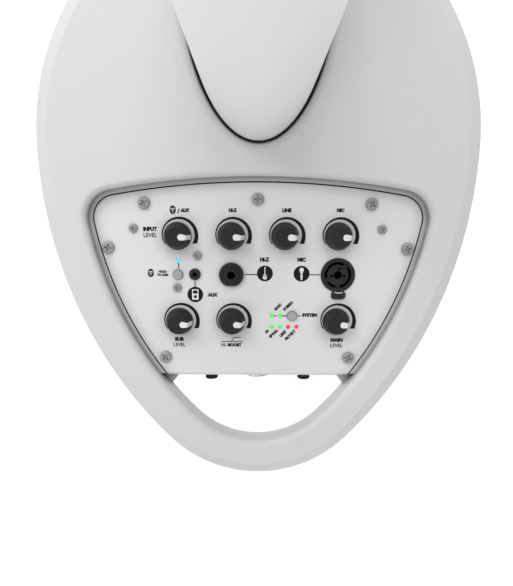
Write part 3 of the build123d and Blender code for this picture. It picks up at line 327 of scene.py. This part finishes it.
def add_text(bm, body, right, up, width, height, bold=True, angle=0.0):
    """One printed word, fitted to a width and a capital height round its centre."""
    curve = bpy.data.curves.new("word", "FONT")
    curve.body = body
    curve.extrude = INK_THICKNESS / 2
    curve.offset = 0.08 if bold else 0.02
    curve.resolution_u = 3
    holder = bpy.data.objects.new("word", curve)
    bpy.context.scene.collection.objects.link(holder)
    graph = bpy.context.evaluated_depsgraph_get()
    mesh = bpy.data.meshes.new_from_object(holder.evaluated_get(graph))
    xs = [v.co.x for v in mesh.vertices]
    ys = [v.co.y for v in mesh.vertices]
    middle = Matrix.Translation((-(min(xs) + max(xs)) / 2, -(min(ys) + max(ys)) / 2, 0))
    fit = Matrix.Diagonal((width / (max(xs) - min(xs)), height / (max(ys) - min(ys)), 1, 1))
    place = Matrix.Translation((right, up, 0)) @ Matrix.Rotation(math.radians(angle), 4, "Z")
    mesh.transform(reader_to_model(INK_LIFT) @ place @ fit @ middle)
    bm.from_mesh(mesh)
    bpy.data.objects.remove(holder)
    bpy.data.curves.remove(curve)
    bpy.data.meshes.remove(mesh)


def arc(right, up, radius, start, end, steps=24):
    points = []
    for step in range(steps + 1):
        angle = math.radians(start + (end - start) * step / steps)
        points.append((right + radius * math.cos(angle), up + radius * math.sin(angle)))
    return points


def circle(right, up, radius, steps=36):
    return arc(right, up, radius, 0, 360 * (steps - 1) / steps, steps - 1)


def stroke(points, width):
    """Outline of a line of that width through the points."""
    left_side = []
    right_side = []
    for index, (right, up) in enumerate(points):
        before = points[max(index - 1, 0)]
        after = points[min(index + 1, len(points) - 1)]
        along = Vector((after[0] - before[0], after[1] - before[1])).normalized()
        across = Vector((-along.y, along.x)) * width / 2
        left_side.append((right + across.x, up + across.y))
        right_side.append((right - across.x, up - across.y))
    return left_side + right_side[::-1]


def shifted(points, right, up):
    return [(x + right, y + up) for x, y in points]


# ---- printing on the panel ----
# Radii of the painted shade ring round each push button.
BUTTON_SHADE_INNER = 3.7
BUTTON_SHADE_OUTER = 4.1
RING_INNER = 12.2
RING_START = 213.0
RING_CUT = -6.5
RING_THIN = 0.75
RING_THICK = 3.3
RING_SHIFT = 0.8
RING_RISE = 0.65


def level_ring(right, up):
    """Crescent round a knob that widens clockwise and ends in a level cut."""
    end_outer = math.degrees(math.asin(RING_CUT / (RING_INNER + RING_THICK)))
    end_inner = math.degrees(math.asin(RING_CUT / RING_INNER))
    steps = 56
    points = []
    for step in range(steps + 1):
        share = step / steps
        angle = math.radians(RING_START + (end_outer - RING_START) * share)
        radius = RING_INNER + RING_THIN + (RING_THICK - RING_THIN) * share ** 1.35
        points.append((right + radius * math.cos(angle), up + radius * math.sin(angle)))
    return points + arc(right, up, RING_INNER, end_inner, RING_START, steps)


def print_rings():
    bm = bmesh.new()
    for knob in KNOBS:
        middle = centre(knob)
        add_shape(bm, [level_ring(RING_SHIFT - middle.x, RING_RISE - middle.y)])
    add_piece("panel_level_rings", bm, INK, "base")


def print_words():
    bm = bmesh.new()
    add_text(bm, "INPUT", -83.0, -18.8, 10.6, 3.4)
    add_text(bm, "LEVEL", -83.0, -23.4, 10.3, 3.3, bold=False)
    add_text(bm, "AUX", -55.8, -4.5, 7.0, 3.0)
    add_text(bm, "HI-Z", -19.3, -4.4, 6.3, 3.0)
    add_text(bm, "LINE", 21.9, -4.3, 7.0, 3.0)
    add_text(bm, "MIC", 62.9, -4.2, 5.8, 3.0)
    add_text(bm, "HOLD", -74.2, -51.7, 6.2, 2.0)
    add_text(bm, "TO LINK", -74.2, -54.3, 9.2, 2.0)
    add_text(bm, "AUX", -35.5, -70.0, 8.0, 3.1)
    add_text(bm, "HI-Z", 5.2, -42.1, 7.2, 3.3)
    add_text(bm, "MIC", 33.8, -42.1, 6.6, 3.3)
    add_text(bm, "SUB", -62.6, -106.0, 7.2, 3.3)
    add_text(bm, "LEVEL", -62.6, -110.6, 9.6, 3.0, bold=False)
    add_text(bm, "HI-", -27.0, -110.7, 4.6, 2.9, bold=False)
    add_text(bm, "BOOST", -18.4, -110.7, 11.0, 2.9)
    add_text(bm, "MAIN", 63.0, -106.4, 9.8, 3.3)
    add_text(bm, "LEVEL", 63.0, -111.0, 9.8, 3.1, bold=False)
    add_text(bm, "SYSTEM", 40.9, -86.1, 11.8, 3.0)
    add_text(bm, "MONO", 15.9, -79.6, 6.9, 2.5, angle=45)
    add_text(bm, "STEREO", 23.9, -78.8, 9.6, 2.5, angle=45)
    add_text(bm, "ON", 7.2, -99.7, 3.2, 2.5, angle=45)
    add_text(bm, "SIGNAL", 12.6, -101.2, 8.9, 2.5, angle=45)
    add_text(bm, "LIMIT", 20.2, -101.2, 6.6, 2.5, angle=45)
    add_text(bm, "PROTECT", 25.9, -102.5, 11.0, 2.5, angle=45)
    add_piece("panel_words", bm, INK, "base")


PLAYER_ICON = (-49.2, -69.8)
GUITAR_ICON = (5.4, -53.0)
MIC_ICON = (34.0, -53.1)
ICON_RADIUS = 6.2
WIRELESS_ICONS = [(-65.2, -4.2), (-83.6, -52.8)]


def print_lines():
    bm = bmesh.new()
    link_led = centre("led_link")
    aux = centre("aux_jack")
    system = centre("system_button")
    combo = centre("combo_jack")
    row = -system.y
    jacks = -combo.y
    lines = [
        [(-link_led.x, -44.8), (-link_led.x, -49.2)],
        [(-aux.x, -59.0), (-aux.x, PLAYER_ICON[1] + ICON_RADIUS - 0.3)],
        [(-10.3, jacks), (GUITAR_ICON[0] - ICON_RADIUS + 0.3, jacks)],
        [(MIC_ICON[0] + ICON_RADIUS - 0.3, jacks), (-combo.x - 13.6, jacks)],
        [(12.7, row), (14.8, row)],
        [(19.1, row), (-system.x - 4.0, row)],
        [(-system.x + 4.6, row), (-system.x + 6.6, row)],
        [(-61.3, -6.6), (-60.3, -3.2)],
    ]
    for line in lines:
        add_shape(bm, [stroke(line, 0.75)])
    rise = [(-21.5, -108.0), (-20.6, -107.2), (-19.9, -105.9), (-19.2, -104.9), (-18.2, -104.5)]
    add_shape(bm, [stroke([(-29.2, -108.0), *rise, (-13.5, -104.5)], 0.6)])
    add_shape(bm, [stroke([(-21.0, -108.0), (-11.8, -108.0)], 0.6)])
    add_piece("panel_lines", bm, INK, "base")


def paint_button_gap_shade():
    """Painted shade: grey ring round each push button, standing in for the shade in the gap between button
    and panel.
    """
    bm = bmesh.new()
    for button in ("link_button", "system_button"):
        middle = centre(button)
        rim = [circle(-middle.x, -middle.y, BUTTON_SHADE_OUTER), circle(-middle.x, -middle.y, BUTTON_SHADE_INNER)]
        add_shape(bm, rim)
    add_piece("button_gap_shade_rings", bm, BUTTON_GAP_SHADE_INK, "base")


LATCH_INSET = 0.55


def latch_glint():
    """Bright metal edge of the release tab, on the side of the microphone socket."""
    combo = centre("combo_jack")
    tab_low, tab_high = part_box("combo_release_tab")
    right = -(tab_low.x + tab_high.x) / 2 / MM
    lift = tab_high.z / MM - PANEL_FACE + INK_LIFT
    up = -tab_low.y / MM - LATCH_INSET
    outside = arc(right, up + 6.6, 7.6, 245, 295, 16)
    inside = arc(right, up + 8.0, 8.2, 293, 247, 16)
    bm = bmesh.new()
    add_shape(bm, [outside + inside], lift)
    add_piece("combo_latch_edge", bm, MATERIALS["connector_metal"], "combo_release_tab")


def oval(right, up, half_width, half_height, steps=32):
    turns = [2 * math.pi * k / steps for k in range(steps)]
    return [(right + half_width * math.cos(turn), up + half_height * math.sin(turn)) for turn in turns]


def print_icons():
    black = bmesh.new()
    for right, up in (PLAYER_ICON, GUITAR_ICON, MIC_ICON):
        add_shape(black, [circle(right, up, ICON_RADIUS)])
    for right, up in WIRELESS_ICONS:
        add_shape(black, [oval(right, up, 2.4, 3.3)])
    add_piece("panel_icon_discs", black, INK, "base")

    white = bmesh.new()
    lift = INK_LIFT + INK_THICKNESS
    for right, up in WIRELESS_ICONS:
        add_shape(white, [circle(right, up - 1.5, 0.45, 12)], lift)
        for radius in (1.5, 2.7):
            add_shape(white, [stroke(arc(right, up - 1.5, radius, 50, 130, 8), 0.5)], lift)
    right, up = PLAYER_ICON
    outside = [(-2.5, -4.1), (2.5, -4.1), (2.5, 4.1), (-2.5, 4.1)]
    screen = [(-1.8, 0.7), (1.8, 0.7), (1.8, 3.3), (-1.8, 3.3)]
    wheel = circle(right, up - 1.7, 1.3, 20)
    add_shape(white, [shifted(outside, right, up), shifted(screen, right, up), wheel], lift)
    right, up = GUITAR_ICON
    body = oval(0, -3.2, 1.75, 1.5, 20)
    waist = oval(0, -1.5, 1.25, 1.1, 16)
    neck = [(-0.3, -1.0), (0.3, -1.0), (0.35, 4.0), (0.75, 5.0), (-0.35, 5.0), (-0.35, 4.0)]
    add_shape(white, [shifted(body, right, up)], lift)
    add_shape(white, [shifted(waist, right, up)], lift)
    add_shape(white, [shifted(neck, right, up)], lift)
    right, up = MIC_ICON
    add_shape(white, [circle(right, up + 3.0, 1.75, 24)], lift)
    add_shape(white, [shifted([(-1.0, 1.2), (1.0, 1.2), (0.9, -0.2), (-0.9, -0.2)], right, up)], lift)
    add_shape(white, [shifted([(-0.85, -0.7), (0.85, -0.7), (0.55, -4.9), (-0.55, -4.9)], right, up)], lift)
    add_piece("panel_icon_pictograms", white, WHITE_INK, "base")


# ---- pointers let into the knobs ----
POINTER_START = 1.6
POINTER_HALF_WIDTH = 2.4
POINTER_NECK_HALF_WIDTH = 1.8
POINTER_PROUD = 0.12
POINTER_SUNK = 0.3
POINTER_ANGLE = 175.0


def knob_profile(distance):
    """(radius, height, normal radius, normal height) at a distance from the axis along the skin."""
    slope = math.atan2(KNOB_RADIUS - KNOB_TOP_RADIUS, KNOB_TOP - KNOB_FOOT)
    turn = math.pi / 2 - slope
    flat = KNOB_TOP_RADIUS - KNOB_EDGE * math.tan(turn / 2)
    if distance <= flat:
        return distance, KNOB_TOP, 0.0, 1.0
    bend = (distance - flat) / KNOB_EDGE
    if bend < turn:
        radius = flat + KNOB_EDGE * math.sin(bend)
        return radius, KNOB_TOP - KNOB_EDGE * (1 - math.cos(bend)), math.sin(bend), math.cos(bend)
    run = distance - flat - KNOB_EDGE * turn
    radius = flat + KNOB_EDGE * math.sin(turn) + run * math.sin(slope)
    height = KNOB_TOP - KNOB_EDGE * (1 - math.cos(turn)) - run * math.cos(slope)
    return radius, height, math.sin(turn), math.cos(turn)


def pointer_half_width(distance):
    """Round head near the axis, a little narrower at the rim."""
    head = distance - POINTER_START
    if head < POINTER_HALF_WIDTH:
        lag = POINTER_HALF_WIDTH - head
        return max(0.05, math.sqrt(POINTER_HALF_WIDTH ** 2 - lag ** 2))
    share = min(1.0, (head - POINTER_HALF_WIDTH) / 4.5)
    return POINTER_HALF_WIDTH + (POINTER_NECK_HALF_WIDTH - POINTER_HALF_WIDTH) * share


def pointer_grid(lift, along, across):
    rows = []
    slope_run = (KNOB_TOP - KNOB_FOOT) - 1.2
    length = KNOB_TOP_RADIUS + slope_run
    for i in range(along + 1):
        share = i / along
        distance = POINTER_START + (length - POINTER_START) * share
        radius, height, out, rise = knob_profile(distance)
        half = pointer_half_width(distance)
        row = []
        for j in range(across + 1):
            side = half * (2 * j / across - 1)
            reach = radius + out * lift
            inward = math.sqrt(max(reach * reach - side * side, 0.0)) if out > 0 else reach
            row.append(Vector((inward, side, height + rise * lift)))
        rows.append(row)
    return rows


def pointer(knob):
    along, across = 44, 8
    top = pointer_grid(POINTER_PROUD, along, across)
    under = pointer_grid(-POINTER_SUNK, along, across)
    middle = centre(knob)
    place = Matrix.Translation((middle.x * MM, middle.y * MM, 0))
    place = place @ Matrix.Rotation(math.radians(POINTER_ANGLE), 4, "Z") @ Matrix.Scale(MM, 4)
    bm = bmesh.new()
    skins = [[[bm.verts.new(place @ p) for p in row] for row in grid] for grid in (top, under)]
    for layer, flip in zip(skins, (False, True)):
        for i in range(along):
            for j in range(across):
                quad = [layer[i][j], layer[i + 1][j], layer[i + 1][j + 1], layer[i][j + 1]]
                bm.faces.new(quad[::-1] if flip else quad)
    rim = [(i, 0) for i in range(along + 1)]
    rim += [(along, j) for j in range(1, across + 1)]
    rim += [(i, across) for i in range(along - 1, -1, -1)]
    rim += [(0, j) for j in range(across - 1, 0, -1)]
    for (i, j), (k, m) in zip(rim, rim[1:] + rim[:1]):
        bm.faces.new([skins[0][k][m], skins[0][i][j], skins[1][i][j], skins[1][k][m]])
    bmesh.ops.recalc_face_normals(bm, faces=bm.faces)
    add_piece(knob.replace("knob_", "pointer_"), bm, POINTER, knob)


# ---- perforated grilles ----
HOLE_PITCH = 8.0
HOLE_RADIUS = 3.35
GRILLE_SHEET = 1.5
GRILLE_RIM = 5.0


def front_line(node):
    """Outer front line of a CAD grille seen from above, from -X round the front to +X."""
    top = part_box(node)[1].z
    holder = frame["nodes"][node]
    corners = [holder.matrix_world @ vertex.co for vertex in holder.data.vertices]
    rim = sorted({(round(c.x / MM, 3), round(c.y / MM, 3)) for c in corners if c.z > top - 0.0002})
    hull = []
    for x, y in rim:
        while len(hull) > 1:
            (ax, ay), (bx, by) = hull[-2:]
            if (bx - ax) * (y - ay) - (by - ay) * (x - ax) > 0:
                break
            hull.pop()
        hull.append((x, y))
    return [Vector(point) for point in hull]


def line_lengths(line):
    lengths = [0.0]
    for before, after in zip(line, line[1:]):
        lengths.append(lengths[-1] + (after - before).length)
    return lengths


def place_on(line, lengths, distance):
    """Point and outward direction on a line at a distance along it."""
    index = 1
    while index < len(lengths) - 1 and lengths[index] < distance:
        index += 1
    share = (distance - lengths[index - 1]) / (lengths[index] - lengths[index - 1])
    along = (line[index] - line[index - 1]).normalized()
    return line[index - 1].lerp(line[index], share), Vector((along.y, -along.x))


def hexagon(x, y, radius):
    angles = [math.radians(60 * k + 30) for k in range(6)]
    return [(round(x + radius * math.cos(a), 4), round(y + radius * math.sin(a), 4)) for a in angles]


def hole_middles(width, height):
    """Rows of hole centres in a staggered pattern that fits between the rims."""
    row_pitch = HOLE_PITCH * math.sqrt(3) / 2
    columns = int((width - 2 * GRILLE_RIM) / HOLE_PITCH - 0.5)
    rows = int((height - 2 * GRILLE_RIM - HOLE_PITCH * 0.6) / row_pitch)
    left = (width - (columns - 0.5) * HOLE_PITCH) / 2
    low = (height - (rows - 1) * row_pitch) / 2
    return [
        (left + HOLE_PITCH * (column + 0.5 * (row % 2)), low + row_pitch * row)
        for row in range(rows) for column in range(columns)
    ]


def flat_grille(width, height):
    """Faces of the perforated sheet laid out flat, as lists of (along, up) corners."""
    faces = []
    edges = {}
    for x, y in hole_middles(width, height):
        cell = hexagon(x, y, HOLE_PITCH / math.sqrt(3))
        hole = hexagon(x, y, HOLE_RADIUS)
        for k in range(6):
            after = (k + 1) % 6
            faces.append([cell[k], cell[after], hole[after], hole[k]])
            edge = tuple(sorted((cell[k], cell[after])))
            edges.setdefault(edge, []).append((cell[k], cell[after]))
    border = dict(found[0] for found in edges.values() if len(found) == 1)
    return faces + rim_faces(border, width, height)


def rim_faces(border, width, height):
    """Solid rim between the outermost cells and the sheet's straight edges."""
    inside = [HOLE_PITCH + GRILLE_RIM, HOLE_PITCH + GRILLE_RIM]

    def edge_point(point):
        x, y = point
        if y < inside[1]:
            return (x, 0.0), 0
        if y > height - inside[1]:
            return (x, height), 2
        return ((0.0, y), 3) if x < width / 2 else ((width, y), 1)

    corners = {(0, 1): (width, 0.0), (1, 2): (width, height), (2, 3): (0.0, height), (3, 0): (0.0, 0.0)}
    faces = []
    for start, end in border.items():
        (outer_start, side_start), (outer_end, side_end) = edge_point(start), edge_point(end)
        face = [start, outer_start, outer_end, end]
        if side_start != side_end:
            face.insert(2, corners[(side_start, side_end)])
        faces.append(face)
    return faces


def perforated_grille(node, name, body):
    low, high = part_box(node)
    line = front_line(node)
    lengths = line_lengths(line)
    bm = bmesh.new()
    skins = {}

    def corner(point, layer):
        if (point, layer) not in skins:
            place, outward = place_on(line, lengths, point[0])
            place = place - outward * (GRILLE_SHEET * layer)
            skins[point, layer] = bm.verts.new((place.x * MM, place.y * MM, low.z + point[1] * MM))
        return skins[point, layer]

    count = {}
    faces = flat_grille(lengths[-1], (high.z - low.z) / MM)
    for face in faces:
        bm.faces.new([corner(point, 0) for point in face])
        bm.faces.new([corner(point, 1) for point in reversed(face)])
        for start, end in zip(face, face[1:] + face[:1]):
            key = tuple(sorted((start, end)))
            count.setdefault(key, []).append((start, end))
    for found in count.values():
        if len(found) == 1:
            start, end = found[0]
            bm.faces.new([corner(end, 0), corner(start, 0), corner(start, 1), corner(end, 1)])
    bmesh.ops.recalc_face_normals(bm, faces=bm.faces)
    piece = add_piece(name, bm, MATERIALS["grille_steel"], body)
    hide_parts(node)


# ---- studio ----
LIT_PLACE = Vector((0, 0, 0.6))
LIGHT_DISTANCE = 2.6
LIGHT_SIZE = 1.2
FLOOR_HALF_SIZE = 9.0
WORLD_STRENGTH = 0.62
# azimuth from +X towards +Y and elevation in degrees, power in watts
LIGHTS = [
    (115, -8, 12), (45, 35, 10), (225, 35, 4), (270, 32, 26), (315, 32, 20), (90, 75, 4),
]


def area_light(name, place, target, size, power):
    light = bpy.data.lights.new(name, "AREA")
    light.shape = "SQUARE"
    light.size = size
    light.energy = power
    holder = bpy.data.objects.new(name, light)
    bpy.context.scene.collection.objects.link(holder)
    holder.location = place
    holder.rotation_euler = (Vector(target) - Vector(place)).to_track_quat("-Z", "Y").to_euler()


def studio():
    world = bpy.data.worlds.new("studio")
    bpy.context.scene.world = world
    world.use_nodes = True
    background = world.node_tree.nodes["Background"]
    background.inputs["Color"].default_value = (1, 1, 1, 1)
    background.inputs["Strength"].default_value = WORLD_STRENGTH
    for azimuth, elevation, power in LIGHTS:
        turn, lift = math.radians(azimuth), math.radians(elevation)
        away = Vector((math.cos(lift) * math.cos(turn), math.cos(lift) * math.sin(turn), math.sin(lift)))
        name = f"light_{azimuth}_{elevation}"
        area_light(name, LIT_PLACE + away * LIGHT_DISTANCE, LIT_PLACE, LIGHT_SIZE, power)
    floor_material, tree, shader, vector = new_material("floor_paper")
    tone = noise(tree, vector, 3.0, 2.0)
    paper = colour_between(tree, tone, (0.90, 0.90, 0.90), (0.93, 0.93, 0.93))
    tree.links.new(paper, shader.inputs["Base Color"])
    shader.inputs["Roughness"].default_value = 0.9
    shader.inputs["Emission Color"].default_value = (1, 1, 1, 1)
    shader.inputs["Emission Strength"].default_value = 0.25
    mesh = bpy.data.meshes.new("floor")
    half = FLOOR_HALF_SIZE
    corners = [(-half, -half, 0), (half, -half, 0), (half, half, 0), (-half, half, 0)]
    mesh.from_pydata(corners, [], [(0, 1, 2, 3)])
    mesh.materials.append(floor_material)
    floor = bpy.data.objects.new("floor", mesh)
    bpy.context.scene.collection.objects.link(floor)
    bpy.context.scene.view_settings.view_transform = "Standard"


CAMERA_PLACE = (0.0011, 0.0005, 0.9699)
CAMERA_LEAN = math.radians(10.17)
CAMERA_ROLL = math.radians(0.173)
LENS = 30.1
SENSOR = 36.0


def camera():
    data = bpy.data.cameras.new("camera")
    data.lens = LENS
    data.sensor_fit = "VERTICAL"
    data.sensor_height = SENSOR
    data.clip_start = 0.01
    holder = bpy.data.objects.new("camera", data)
    bpy.context.scene.collection.objects.link(holder)
    right = Vector((-1, 0, 0))
    down = Vector((0, math.cos(CAMERA_LEAN), math.sin(CAMERA_LEAN)))
    turned_right = right * math.cos(CAMERA_ROLL) - down * math.sin(CAMERA_ROLL)
    turned_down = right * math.sin(CAMERA_ROLL) + down * math.cos(CAMERA_ROLL)
    up = -turned_down
    back = turned_right.cross(up)
    rotation = Matrix((turned_right, up, back)).transposed().to_4x4()
    holder.matrix_world = Matrix.Translation(CAMERA_PLACE) @ rotation
    bpy.context.scene.camera = holder


camera()
studio()
paint_cad_nodes()
print_rings()
print_words()
print_lines()
print_icons()
paint_button_gap_shade()
latch_glint()
for knob_name in KNOBS:
    pointer(knob_name)
perforated_grille("base_grille", "base_grille_perforated", "base")
perforated_grille("lower_column_grille", "lower_column_grille_perforated", "lower_column")
perforated_grille("upper_column_grille", "upper_column_grille_perforated", "upper_column")
